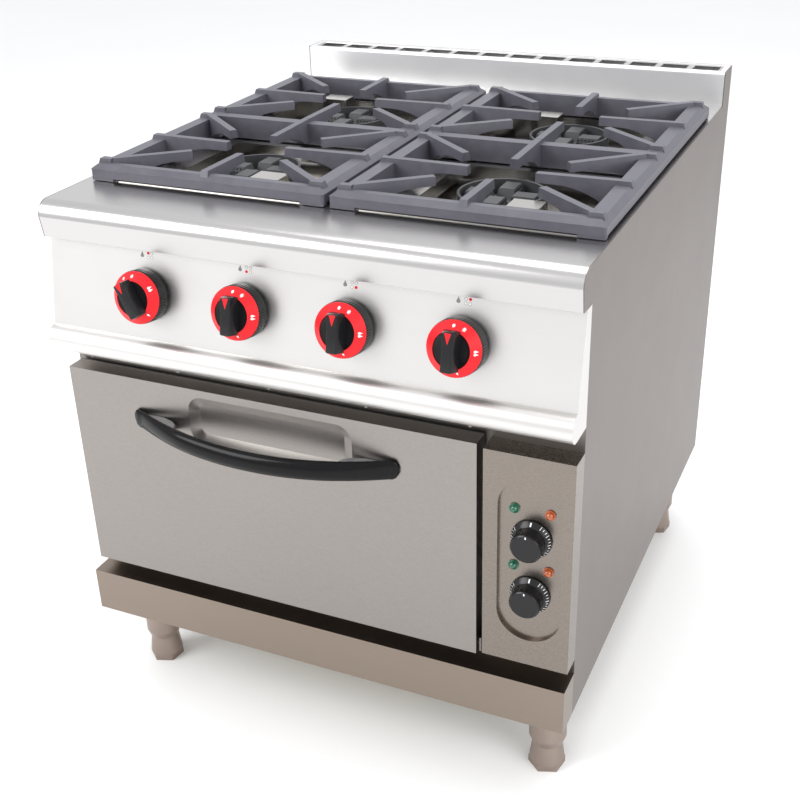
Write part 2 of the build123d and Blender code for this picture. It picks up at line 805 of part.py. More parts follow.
# ================================================================ oven
with BuildPart() as oven_liner:
    outside_x = (cavity_x0 - sheet, cavity_x1 + sheet)
    block(outside_x, (cavity_y0, cavity_y1 + sheet), (cavity_z0 - sheet, cavity_z1 + sheet))
    flange_x = (cavity_x0 - mouth_flange, cavity_x1 + mouth_flange)
    block(flange_x, (cavity_y0, cavity_y0 + sheet), (cavity_z0 - mouth_flange, cavity_z1 + mouth_flange))
    block((cavity_x0, cavity_x1), (cavity_y0, cavity_y1), (cavity_z0, cavity_z1), Mode.SUBTRACT)
    element_r = 4.0
    element_inset = 22.0
    lead_x = (cavity_x0 + 60, cavity_x0 + 100)
    element_zs = (cavity_z0 + 14, cavity_z1 - 14)
    for z in element_zs:
        for x in lead_x:
            rod((x, cavity_y1 - sheet, z), (x, cavity_y1 + 2 * sheet, z), element_r + 0.5, Mode.SUBTRACT)
save(oven_liner, "oven_liner")

wool_x = (cavity_x0 - sheet - wool_gap - wool_t, cavity_x1 + sheet + wool_gap + wool_t)
wool_y = (cavity_y0 + sheet + wool_gap, cavity_y1 + sheet + wool_gap + wool_t)
wool_z = (cavity_z0 - sheet - wool_gap - wool_t, cavity_z1 + sheet + wool_gap + wool_t)

with BuildPart() as oven_insulation:
    block(wool_x, wool_y, wool_z)
    core_x = (wool_x[0] + wool_t, wool_x[1] - wool_t)
    core_z = (wool_z[0] + wool_t, wool_z[1] - wool_t)
    block(core_x, (wool_y[0], wool_y[1] - wool_t), core_z, Mode.SUBTRACT)
    for z in element_zs:
        for x in lead_x:
            rod((x, wool_y[1] - wool_t - 1, z), (x, wool_y[1] + 1, z), element_r + 1, Mode.SUBTRACT)
save(oven_insulation, "oven_insulation")


def oven_element(z):
    """Tubular heater: three long loops across the oven, both ends out at the back."""
    y_back = wool_y[1] + 14
    y_far = cavity_y1 - 45
    y_near = cavity_y0 + 70
    x_in, x_out = lead_x[1], cavity_x1 - 50
    points = [(lead_x[0], y_back, z), (lead_x[0], y_near, z), (x_out, y_near, z)]
    points += [(x_out, y_far, z), (x_in + 240, y_far, z), (x_in + 240, y_near + 80, z)]
    points += [(x_in, y_near + 80, z), (x_in, y_back, z)]
    with BuildPart() as heater:
        with BuildLine():
            FilletPolyline(*points, radius=20)
        with BuildSketch(Plane(origin=points[0], x_dir=(1, 0, 0), z_dir=(0, -1, 0))):
            Circle(element_r)
        sweep()
    return heater


for name, z in zip(("oven_element_bottom", "oven_element_top"), element_zs):
    save(oven_element(z), name)

runner_first = 70.0                     # lowest runner above the cavity floor
runner_pitch = 55.0
runner_zs = [cavity_z0 + runner_first + i * runner_pitch for i in range(3)]
runner_w = 14.0
runner_y = (cavity_y0 + 30, cavity_y1 - 40)

with BuildPart() as shelf_runners:
    for wall_x, s in ((cavity_x0, 1), (cavity_x1, -1)):
        for y in (runner_y[0] + 60, runner_y[1] - 80):
            block(sorted((wall_x, wall_x + s * 2)), (y, y + 20), (runner_zs[0] - 20, runner_zs[-1] + 20))
        for z in runner_zs:
            block(sorted((wall_x + s * 2, wall_x + s * runner_w)), runner_y, (z - 2, z))
            block(sorted((wall_x + s * 2, wall_x + s * 4)), runner_y, (z, z + 8))
save(shelf_runners, "shelf_runners")

shelf_z = runner_zs[1]
wire = 3.5
shelf_x = (cavity_x0 + 4 + 3, cavity_x1 - 4 - 3)
shelf_y = (runner_y[0] + 5, runner_y[1] - 5)

with BuildPart() as oven_shelf:
    z = shelf_z + wire
    for y in shelf_y:
        rod((shelf_x[0], y, z), (shelf_x[1], y, z), wire)
    for x in (shelf_x[0] + wire, shelf_x[1] - wire):
        rod((x, shelf_y[0] + 1, z), (x, shelf_y[1] - 1, z), wire - 0.2)
    bars = 18
    for i in range(1, bars):
        x = shelf_x[0] + (shelf_x[1] - shelf_x[0]) * i / bars
        rod((x, shelf_y[0] + 1, z + 0.5), (x, shelf_y[1] - 1, z + 0.5), 1.8)
save(oven_shelf, "oven_shelf")

# ---------------------------------------------------------------- oven control box
recess_mid = (dial_zs[0] + dial_zs[1]) / 2 + recess_up
recess_plane = Plane(origin=(dial_x - 1, door_face_y, recess_mid), x_dir=(1, 0, 0), z_dir=(0, -1, 0))
floor_y = door_face_y + recess_depth

with BuildPart() as control_box:
    block((box_x0, half_w), (door_face_y, side_y), (box_z0, box_z1))
    block(
        (box_x0 + sheet, half_w - sheet),
        (door_face_y + sheet, side_y),
        (box_z0 + sheet, box_z1 - sheet),
        Mode.SUBTRACT,
    )
    with BuildSketch(recess_plane):
        SlotOverall(recess_h + 2 * sheet, recess_w + 2 * sheet, rotation=90)
    extrude(amount=-recess_depth - sheet)
    with BuildSketch(recess_plane):
        SlotOverall(recess_h, recess_w, rotation=90)
    extrude(amount=-recess_depth, mode=Mode.SUBTRACT)
    for dial_z in dial_zs:
        rod((dial_x, floor_y - 1, dial_z), (dial_x, floor_y + 3, dial_z), dial_spindle_r + 1, Mode.SUBTRACT)
        for dx in (-lamp_dx, lamp_dx):
            start = (dial_x + dx, floor_y - 1, dial_z + lamp_up)
            rod(start, (start[0], floor_y + 3, start[2]), lamp_r + fit, Mode.SUBTRACT)
save(control_box, "control_box")

with BuildPart() as oven_thermostats:
    for dial_z in dial_zs:
        back = floor_y + sheet
        block((dial_x - 22, dial_x + 22), (back, back + 48), (dial_z - 22, dial_z + 22))
        rod((dial_x, back, dial_z), (dial_x, floor_y - 22, dial_z), dial_spindle_r)
save(oven_thermostats, "oven_thermostats")

for name, dx in (("lamps_green", -lamp_dx), ("lamps_orange", lamp_dx)):
    with BuildPart() as lamps:
        for dial_z in dial_zs:
            x, z = dial_x + dx, dial_z + lamp_up
            rod((x, floor_y, z), (x, floor_y + 26, z), lamp_r)
            rod((x, floor_y - 2, z), (x, floor_y, z), lamp_r + 1.5)
            with Locations((x, floor_y - 2, z)):
                Sphere(lamp_r)
            block((x - 9, x + 9), (floor_y, floor_y + 12), (z - 9, z + 9), Mode.SUBTRACT)
            rod((x, floor_y, z), (x, floor_y + 26, z), lamp_r)
    save(lamps, name)


def dial_knob(dial_z):
    """Thermostat knob: scale skirt and round cap on one spindle bore."""
    plane = Plane(origin=(dial_x, floor_y - 1, dial_z), x_dir=(1, 0, 0), z_dir=(0, -1, 0))
    with BuildPart() as knob:
        with BuildSketch(plane):
            Circle(dial_r)
        extrude(amount=2)
        with BuildSketch(plane.offset(2)):
            Circle(dial_r)
        extrude(amount=dial_skirt - 2, taper=35)
        with BuildSketch(plane.offset(dial_skirt - 1)):
            Circle(dial_cap_r)
        extrude(amount=dial_out - dial_skirt, taper=2)
        with BuildSketch(plane):
            Circle(dial_spindle_r + running)
        extrude(amount=22, mode=Mode.SUBTRACT)
    return knob


for name, dial_z in zip(("upper", "lower"), dial_zs):
    save(dial_knob(dial_z), f"thermostat_knob_{name}")

with BuildPart() as terminal_block:
    block((gland_x - 40, gland_x + 30), (back_y - 90, back_y - 60), (gland_z - 20, gland_z + 20))
    for i in range(5):
        x = gland_x - 32 + i * 13
        rod((x, back_y - 90, gland_z), (x, back_y - 82, gland_z), 3.5, Mode.SUBTRACT)
    block((gland_x - 40, gland_x + 30), (back_y - 60, back_y - sheet), (gland_z - 22, gland_z - 20))
save(terminal_block, "terminal_block")

with BuildPart() as cable_gland:
    rod((gland_x, back_y - 14, gland_z), (gland_x, back_y - sheet, gland_z), 13)
    rod((gland_x, back_y - sheet, gland_z), (gland_x, back_y, gland_z), gland_r - fit)
    with BuildSketch(Plane(origin=(gland_x, back_y, gland_z), x_dir=(1, 0, 0), z_dir=(0, 1, 0))):
        RegularPolygon(14, 6)
    extrude(amount=8)
    rod((gland_x, back_y + 8, gland_z), (gland_x, back_y + 22, gland_z), 11)
    rod((gland_x, back_y - 15, gland_z), (gland_x, back_y + 23, gland_z), 6.5, Mode.SUBTRACT)
save(cable_gland, "cable_gland")

# ================================================================ door
pan_back = door_back_y - 2.0
end_x = handle_len / 2
screw_x = end_x - 52

with BuildPart() as door_skin:
    block((door_x0, door_x1), (door_face_y, pan_back), (door_z0, door_z1))
    inside_x = (door_x0 + sheet, door_x1 - sheet)
    block(inside_x, (door_face_y + sheet, pan_back), (door_z0 + sheet, door_z1 - sheet), Mode.SUBTRACT)
    scoop = Plane(origin=(scoop_x, door_face_y, handle_z + scoop_up), x_dir=(1, 0, 0), z_dir=(0, -1, 0))
    for grow, depth, mode in ((2 * sheet, scoop_depth + sheet, Mode.ADD), (0, scoop_depth, Mode.SUBTRACT)):
        for offset_y, inset in ((0, 0), (-depth, scoop_slope)):
            with BuildSketch(scoop.offset(offset_y)):
                wide = scoop_len + grow - 2 * inset
                high = scoop_h + grow - 2 * inset
                RectangleRounded(wide, high, scoop_r - inset)
        loft(mode=mode)
    for x0, x1 in ((door_x0, door_x0 + 9), (door_x1 - 9, door_x1)):
        rod((x0, hinge_y, hinge_z), (x1, hinge_y, hinge_z), pin_r + 4)
        rod((x0, hinge_y, hinge_z), (x1, hinge_y, hinge_z), pin_r + running, Mode.SUBTRACT)
    for x in (-screw_x, screw_x):
        start = (door_mid_x + x, door_face_y - 1, handle_z)
        rod(start, (start[0], door_face_y + 2 * sheet, handle_z), 2.8, Mode.SUBTRACT)
save(door_skin, "door_skin")

plug_depth = 15.0
plug_gap = 10.0

with BuildPart() as door_liner:
    block((door_x0, door_x1), (pan_back, door_back_y), (door_z0, door_z1))
    plug_x = (cavity_x0 + plug_gap, cavity_x1 - plug_gap)
    plug_z = (cavity_z0 + plug_gap, cavity_z1 - plug_gap)
    block(plug_x, (door_back_y, door_back_y + plug_depth), plug_z)
    hollow_x = (plug_x[0] + sheet, plug_x[1] - sheet)
    hollow_z = (plug_z[0] + sheet, plug_z[1] - sheet)
    block(hollow_x, (pan_back, door_back_y + plug_depth - sheet), hollow_z, Mode.SUBTRACT)
save(door_liner, "door_liner")

with BuildPart() as door_insulation:
    wool_front = door_face_y + scoop_depth + 2 * sheet
    block((door_x0 + 12, door_x1 - 12), (wool_front, pan_back - fit), (door_z0 + 24, door_z1 - 6))
save(door_insulation, "door_insulation")

gasket_in = 5.0
gasket_w = 9.0

with BuildPart() as door_gasket:
    out = gasket_in + gasket_w
    block(
        (cavity_x0 - out, cavity_x1 + out),
        (door_back_y, door_back_y + gasket_t),
        (cavity_z0 - out, cavity_z1 + out),
    )
    inner_x = (cavity_x0 - gasket_in, cavity_x1 + gasket_in)
    inner_z = (cavity_z0 - gasket_in, cavity_z1 + gasket_in)
    block(inner_x, (door_back_y, door_back_y + gasket_t), inner_z, Mode.SUBTRACT)
save(door_gasket, "door_gasket")

# The bow: both ends lie on the door, the middle stands off it and hangs a little lower
with BuildPart() as door_handle:
    with BuildSketch(Plane.XY.offset(handle_z - handle_drop - handle_h / 2)):
        with BuildLine():
            outer = ThreePointArc((-end_x, 0), (0, -handle_reach - handle_t / 2), (end_x, 0))
            Line(outer @ 1, (end_x - 72, 0))
            inner = ThreePointArc((end_x - 72, 0), (0, -handle_reach + handle_t / 2), (-end_x + 72, 0))
            Line(inner @ 1, (-end_x, 0))
        make_face()
    extrude(amount=handle_h + handle_drop)
    lower = Plane(origin=(0, 0, 0), x_dir=(1, 0, 0), z_dir=(0, -1, 0))
    with BuildSketch(lower):
        with BuildLine():
            low = ThreePointArc(
                (-end_x - 5, handle_z - handle_h / 2),
                (0, handle_z - handle_drop - handle_h / 2),
                (end_x + 5, handle_z - handle_h / 2),
            )
            Line(low @ 1, (end_x + 5, handle_z + handle_h / 2))
            high = ThreePointArc(
                (end_x + 5, handle_z + handle_h / 2),
                (0, handle_z - handle_drop + handle_h / 2),
                (-end_x - 5, handle_z + handle_h / 2),
            )
            Line(high @ 1, low @ 0)
        make_face()
    extrude(amount=handle_reach + handle_t, mode=Mode.INTERSECT)
door_handle.part = door_handle.part.moved(Location((door_mid_x, door_face_y, 0)))
for x in (-screw_x, screw_x):
    hole = Location((door_mid_x + x, door_face_y, handle_z), (90, 0, 0)) * Cylinder(2.6, 24)
    door_handle.part = door_handle.part - hole
save(door_handle, "door_handle")

with BuildPart() as door_handle_screws:
    for x in (-screw_x, screw_x):
        cx = door_mid_x + x
        rod((cx, door_face_y + sheet, handle_z), (cx, door_face_y + sheet + 3, handle_z), 5)
        rod((cx, door_face_y - 11, handle_z), (cx, door_face_y + sheet, handle_z), 2.5)
save(door_handle_screws, "door_handle_screws")

with BuildPart() as hinge_brackets:
    gap_r0 = door_x1 + 2.5
    for x0, x1, tip in (
        (-half_w + sheet, -half_w + sheet + hinge_plate_t, door_x0 + 8),
        (gap_r0, gap_r0 + hinge_plate_t, door_x1 - 8),
    ):
        block((x0, x1), (hinge_y - 9, side_y), (hinge_z - 9, hinge_z + 14))
        start = x1 if tip > x1 else x0
        rod((start, hinge_y, hinge_z), (tip, hinge_y, hinge_z), pin_r)
save(hinge_brackets, "hinge_brackets")

# ================================================================ legs
leg_spots = [(sx * leg_x, sy * leg_y) for sx in (-1, 1) for sy in (-1, 1)]

with BuildPart() as leg_sleeves:
    for x, y in leg_spots:
        with BuildSketch(Plane(origin=(x, y, 0), x_dir=(1, 0, 0), z_dir=(0, -1, 0))):
            with BuildLine():
                Polyline(
                    (stem_r + 3, sleeve_low),
                    (foot_neck_r, sleeve_low),
                    (sleeve_r, sleeve_low + 14),
                    (sleeve_r, leg_h - 3),
                    (sleeve_r + 6, leg_h - 3),
                    (sleeve_r + 6, leg_h),
                    (stem_r + running, leg_h),
                    (stem_r + running, sleeve_low + 30),
                    (stem_r + 3, sleeve_low + 30),
                    (stem_r + 3, sleeve_low),
                )
            make_face()
        revolve(axis=Axis((x, y, 0), (0, 0, 1)))
save(leg_sleeves, "leg_sleeves")


def foot(x, y):
    """Screw-in foot: stem, tapered body and six-sided sole."""
    with BuildPart() as piece:
        with BuildSketch(Plane(origin=(x, y, 12), x_dir=(1, 0, 0), z_dir=(0, 0, 1))):
            Circle(foot_r)
        extrude(amount=sleeve_low - fit - 12, taper=degrees(atan2(foot_r - foot_neck_r + 1, sleeve_low - 12)))
        with BuildSketch(Plane(origin=(x, y, 0), x_dir=(1, 0, 0), z_dir=(0, 0, 1))):
            RegularPolygon(foot_r + 1, 6, rotation=20)
        extrude(amount=12)
        rod((x, y, 12), (x, y, leg_h - 12), stem_r)
    return piece


for i, (x, y) in enumerate(leg_spots, start=1):
    save(foot(x, y), f"foot_{i}")
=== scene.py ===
"""Looks for a commercial gas range: finishes, knobs, handle, prints and the studio."""
import json
import logging
from dataclasses import dataclass, field
from enum import Enum
from math import cos, pi, radians, sin
from typing import Iterable, Sequence

import bmesh
import bpy
from mathutils import Matrix, Vector


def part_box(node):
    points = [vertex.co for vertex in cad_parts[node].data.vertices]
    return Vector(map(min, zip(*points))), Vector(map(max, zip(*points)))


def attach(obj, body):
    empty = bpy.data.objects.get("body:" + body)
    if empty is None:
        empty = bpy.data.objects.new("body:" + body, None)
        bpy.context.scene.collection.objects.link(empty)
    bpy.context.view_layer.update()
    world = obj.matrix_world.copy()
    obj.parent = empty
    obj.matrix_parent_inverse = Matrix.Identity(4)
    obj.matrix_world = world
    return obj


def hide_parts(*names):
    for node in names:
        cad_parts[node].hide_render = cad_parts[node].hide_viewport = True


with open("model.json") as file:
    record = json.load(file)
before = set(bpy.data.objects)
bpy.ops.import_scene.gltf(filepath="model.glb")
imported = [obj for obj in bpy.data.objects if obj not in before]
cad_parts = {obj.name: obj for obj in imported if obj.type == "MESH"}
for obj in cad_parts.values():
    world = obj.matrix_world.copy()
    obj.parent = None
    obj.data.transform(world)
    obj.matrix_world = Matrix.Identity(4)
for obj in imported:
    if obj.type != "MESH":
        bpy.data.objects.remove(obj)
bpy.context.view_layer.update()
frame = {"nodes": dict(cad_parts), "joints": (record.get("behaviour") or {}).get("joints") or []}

LOG = logging.getLogger("range")
MM = 0.001


class Axis(Enum):
    """Direction that a brushed finish runs in."""

    X = (4.0, 900.0, 900.0)
    Y = (900.0, 4.0, 900.0)
    Z = (900.0, 900.0, 4.0)


# ---------------------------------------------------------------- shader maths
class Value:
    """A shader socket with arithmetic.

    Args:
        tree: Builder that owns the nodes.
        socket: Output socket the value comes from.
    """

    def __init__(self, tree: "Tree", socket: bpy.types.NodeSocket) -> None:
        self.tree = tree
        self.socket = socket

    def _math(self, operation: str, *others: object, clamp: bool = False) -> "Value":
        """One Math node on this value and the others."""
        return self.tree.make("ShaderNodeMath", {"operation": operation, "use_clamp": clamp}, [self, *others])

    def __add__(self, other: object) -> "Value":
        return self._math("ADD", other)

    __radd__ = __add__

    def __mul__(self, other: object) -> "Value":
        return self._math("MULTIPLY", other)

    __rmul__ = __mul__

    def __sub__(self, other: object) -> "Value":
        return self._math("SUBTRACT", other)

    def __rsub__(self, other: object) -> "Value":
        return self.tree.make("ShaderNodeMath", {"operation": "SUBTRACT"}, [other, self])

    def clamp(self) -> "Value":
        """This value held between zero and one."""
        return self._math("ADD", 0.0, clamp=True)


class Tree:
    """Builds one material's nodes.

    Args:
        name: Material name.
    """

    def __init__(self, name: str) -> None:
        self.material = bpy.data.materials.new(name)
        self.material.use_nodes = True
        self.nodes = self.material.node_tree.nodes
        self.links = self.material.node_tree.links
        self.shader = self.nodes["Principled BSDF"]
        self.place = self.make("ShaderNodeTexCoord", {}, [], out="Object")

    def make(self, kind: str, settings: dict, inputs: object, out: object = 0) -> Value:
        """Makes one node.

        Args:
            kind: Node type.
            settings: Attributes, set before the inputs.
            inputs: Values by order or by name, each a number, tuple or Value.
            out: Name or number of the output wanted.

        Returns:
            The output as a Value.
        """
        node = self.nodes.new(kind)
        for key, setting in settings.items():
            setattr(node, key, setting)
        pairs = inputs.items() if isinstance(inputs, dict) else enumerate(inputs)
        for key, value in pairs:
            if isinstance(value, Value):
                self.links.new(value.socket, node.inputs[key])
            else:
                node.inputs[key].default_value = value
        return Value(self, node.outputs[out])

    def noise(self, scale: Sequence[float], detail: float = 2.0, roughness: float = 0.55) -> Value:
        """Noise on object coordinates with its own scale on each axis."""
        at = self.make("ShaderNodeMapping", {}, {"Vector": self.place, "Scale": tuple(scale)})
        inputs = {"Vector": at, "Scale": 1.0, "Detail": detail, "Roughness": roughness}
        return self.make("ShaderNodeTexNoise", {}, inputs, out="Fac")

    def mix(self, factor: Value, low: Sequence[float], high: Sequence[float]) -> Value:
        """Colour between two colours."""
        settings = {"data_type": "RGBA"}
        return self.make("ShaderNodeMix", settings, {0: factor, 6: (*low, 1.0), 7: (*high, 1.0)}, out=2)

    def bump(self, height: Value, strength: float, distance: float) -> Value:
        """Normal from a height."""
        inputs = {"Strength": strength, "Distance": distance, "Height": height}
        return self.make("ShaderNodeBump", {}, inputs, out="Normal")

    def drive(self, **inputs: Value) -> None:
        """Links varying values into the main shader, underscores standing for spaces."""
        for name, value in inputs.items():
            self.links.new(value.socket, self.shader.inputs[name.replace("_", " ")])

    def fix(self, **inputs: float) -> None:
        """Sets constants on the main shader, underscores standing for spaces."""
        for name, value in inputs.items():
            self.shader.inputs[name.replace("_", " ")].default_value = value


@dataclass(frozen=True)
class BrushedSteel:
    """Stainless sheet with straight grain, faint rolling bands and handling marks."""

    name: str
    along: Axis
    tone: tuple = (0.60, 0.585, 0.565)
    rough: float = 0.26
    spread: float = 0.05

    def material(self) -> bpy.types.Material:
        """Returns the finished material."""
        tree = Tree(self.name)
        grain = tree.noise(self.along.value, 3.0)
        bands = tree.noise([v * 0.02 + 0.8 for v in self.along.value], 1.0)
        marks = tree.noise((7.0, 7.0, 7.0), 4.0, 0.7)
        low = tuple(c * 0.93 for c in self.tone)
        tree.drive(
            Base_Color=tree.mix((grain * 0.5 + bands * 0.5).clamp(), low, self.tone),
            Roughness=(self.rough + (grain - 0.5) * self.spread + (marks - 0.5) * 0.07).clamp(),
            Normal=tree.bump(grain, 0.05, 0.00004),
        )
        tree.fix(Metallic=1.0)
        return tree.material


@dataclass(frozen=True)
class SatinSteel:
    """Stainless with a fine even speckle in place of long grain."""

    name: str
    tone: tuple = (0.46, 0.452, 0.44)
    rough: float = 0.36

    def material(self) -> bpy.types.Material:
        """Returns the finished material."""
        tree = Tree(self.name)
        fine = tree.noise((240.0, 900.0, 700.0), 3.0)
        wide = tree.noise((5.0, 5.0, 5.0), 2.0)
        low = tuple(c * 0.84 for c in self.tone)
        tree.drive(
            Base_Color=tree.mix(((fine - 0.5) * 1.6 + 0.5).clamp(), low, self.tone),
            Roughness=(self.rough + (fine - 0.5) * 0.12 + (wide - 0.5) * 0.06).clamp(),
            Normal=tree.bump(fine, 0.10, 0.00005),
        )
        tree.fix(Metallic=1.0)
        return tree.material


@dataclass(frozen=True)
class Casting:
    """Iron casting with sand grain and rubbed high spots."""

    name: str
    tone: tuple = (0.115, 0.120, 0.135)
    rubbed: tuple = (0.19, 0.195, 0.21)
    rough: float = 0.48

    def material(self) -> bpy.types.Material:
        """Returns the finished material."""
        tree = Tree(self.name)
        sand = tree.noise((900.0, 900.0, 900.0), 3.0)
        worn = tree.noise((38.0, 38.0, 38.0), 5.0, 0.65)
        tree.drive(
            Base_Color=tree.mix((worn - 0.38).clamp(), self.tone, self.rubbed),
            Roughness=(self.rough + (worn - 0.5) * 0.22).clamp(),
            Normal=tree.bump(sand, 0.32, 0.00022),
        )
        tree.fix(Metallic=0.15)
        return tree.material


@dataclass(frozen=True)
class Moulded:
    """Moulded plastic, enamel or paint: one colour with dust and fine wear."""

    name: str
    tone: tuple
    rough: float = 0.25
    coat: float = 0.0
    metal: float = 0.0
    glow: float = 0.0
    grain: float = 700.0
    shine: float = 0.5

    def material(self) -> bpy.types.Material:
        """Returns the finished material."""
        tree = Tree(self.name)
        dust = tree.noise((30.0, 30.0, 30.0), 5.0, 0.7)
        fine = tree.noise((self.grain,) * 3, 2.0)
        high = tuple(min(1.0, c * 1.12 + 0.004) for c in self.tone)
        tree.drive(
            Base_Color=tree.mix((dust - 0.2).clamp(), self.tone, high),
            Roughness=(self.rough + (dust - 0.5) * 0.12).clamp(),
            Normal=tree.bump(fine, 0.06, 0.00005),
        )
        tree.fix(Metallic=self.metal, Coat_Weight=self.coat, Coat_Roughness=0.08)
        tree.fix(Specular_IOR_Level=self.shine)
        if self.glow:
            tree.fix(Emission_Color=(*self.tone, 1.0), Emission_Strength=self.glow)
        return tree.material


# ---------------------------------------------------------------- mesh building
@dataclass
class Shape:
    """A mesh under construction, placed by a matrix and finished as one object."""

    name: str
    place: Matrix = field(default_factory=lambda: Matrix.Identity(4))
    mesh: bmesh.types.BMesh = field(default_factory=bmesh.new)

    def lathe(self, profile: Sequence[tuple], steps: int = 96, slot: int = 0) -> None:
        """Turns a closed profile of (radius, height) about the local Z axis.

        Args:
            profile: Points in order round the section, in millimetres.
            steps: Number of segments in the full turn.
            slot: Material index for the new faces.
        """
        before = set(self.mesh.faces)
        verts = [self.mesh.verts.new((r * MM, 0.0, h * MM)) for r, h in profile]
        pairs = list(zip(verts, verts[1:] + verts[:1]))
        edges = [self.mesh.edges.new(p) for p in pairs if p[0].co.x + p[1].co.x > 1e-9]
        bmesh.ops.spin(
            self.mesh, geom=verts + edges, axis=(0, 0, 1), cent=(0, 0, 0), angle=2 * pi, steps=steps,
            use_merge=True,
        )
        bmesh.ops.remove_doubles(self.mesh, verts=self.mesh.verts, dist=1e-7)
        self._assign(before, slot)

    def prism(
        self, outline: Sequence[tuple], low: float, high: float, slot: int = 0, bevel: float = 0.0
    ) -> list:
        """Extrudes a flat outline along local Z.

        Args:
            outline: Points (x, y) in millimetres.
            low: Start height.
            high: End height.
            slot: Material index.
            bevel: Edge rounding in millimetres.

        Returns:
            The new faces.
        """
        before = set(self.mesh.faces)
        face = self.mesh.faces.new([self.mesh.verts.new((x * MM, y * MM, low * MM)) for x, y in outline])
        grown = bmesh.ops.extrude_face_region(self.mesh, geom=[face])["geom"]
        tops = [v for v in grown if isinstance(v, bmesh.types.BMVert)]
        bmesh.ops.translate(self.mesh, verts=tops, vec=(0, 0, (high - low) * MM))
        if bevel:
            fresh = [f for f in self.mesh.faces if f not in before]
            edges = list({e for f in fresh for e in f.edges})
            sharp = [e for e in edges if len(e.link_faces) == 2 and e.calc_face_angle(0.0) > 0.6]
            bmesh.ops.bevel(
                self.mesh, geom=sharp, offset=bevel * MM, affect="EDGES", segments=3, profile=0.5,
                material=-1,
                clamp_overlap=True,
            )
        return self._assign(before, slot)

    def _assign(self, before: set, slot: int) -> list:
        """Gives new faces their material index."""
        fresh = [f for f in self.mesh.faces if f not in before]
        for f in fresh:
            f.material_index = slot
        return fresh

    def finish(
        self, body: str, materials: Iterable[bpy.types.Material], smooth: float = 35.0
    ) -> bpy.types.Object:
        """Turns the mesh into an object that rides on a body.

        Args:
            body: CAD body to ride on.
            materials: Materials in slot order.
            smooth: Angle in degrees above which an edge stays sharp.

        Returns:
            The new object.
        """
        bmesh.ops.transform(self.mesh, matrix=self.place, verts=self.mesh.verts)
        bmesh.ops.recalc_face_normals(self.mesh, faces=self.mesh.faces)
        for edge in self.mesh.edges:
            edge.smooth = len(edge.link_faces) == 2 and edge.calc_face_angle(0.0) < radians(smooth)
        for face in self.mesh.faces:
            face.smooth = True
        data = bpy.data.meshes.new(self.name)
        self.mesh.to_mesh(data)
        self.mesh.free()
        piece = bpy.data.objects.new(self.name, data)
        bpy.context.scene.collection.objects.link(piece)
        for material in materials:
            data.materials.append(material)
        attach(piece, body)
        return piece


def circle(radius: float, count: int = 32, centre: tuple = (0.0, 0.0)) -> list:
    """Points round a circle in millimetres."""
    steps = [2 * pi * i / count for i in range(count)]
    return [(centre[0] + radius * cos(a), centre[1] + radius * sin(a)) for a in steps]


def turned_outline(points: Sequence[tuple], angle: float) -> list:
    """Outline turned anticlockwise about the origin by an angle in radians."""
    c, s = cos(angle), sin(angle)
    return [(x * c - y * s, x * s + y * c) for x, y in points]


def facing(origin: Vector, out: Vector, turn: float = 0.0) -> Matrix:
    """Placement with local Z along out and local Y up the face."""
    z = out.normalized()
    x = Vector((0, 0, 1)).cross(z).normalized()
    basis = Matrix((x, z.cross(x), z)).transposed().to_4x4()
    return Matrix.Translation(origin) @ basis @ Matrix.Rotation(radians(turn), 4, "Z")


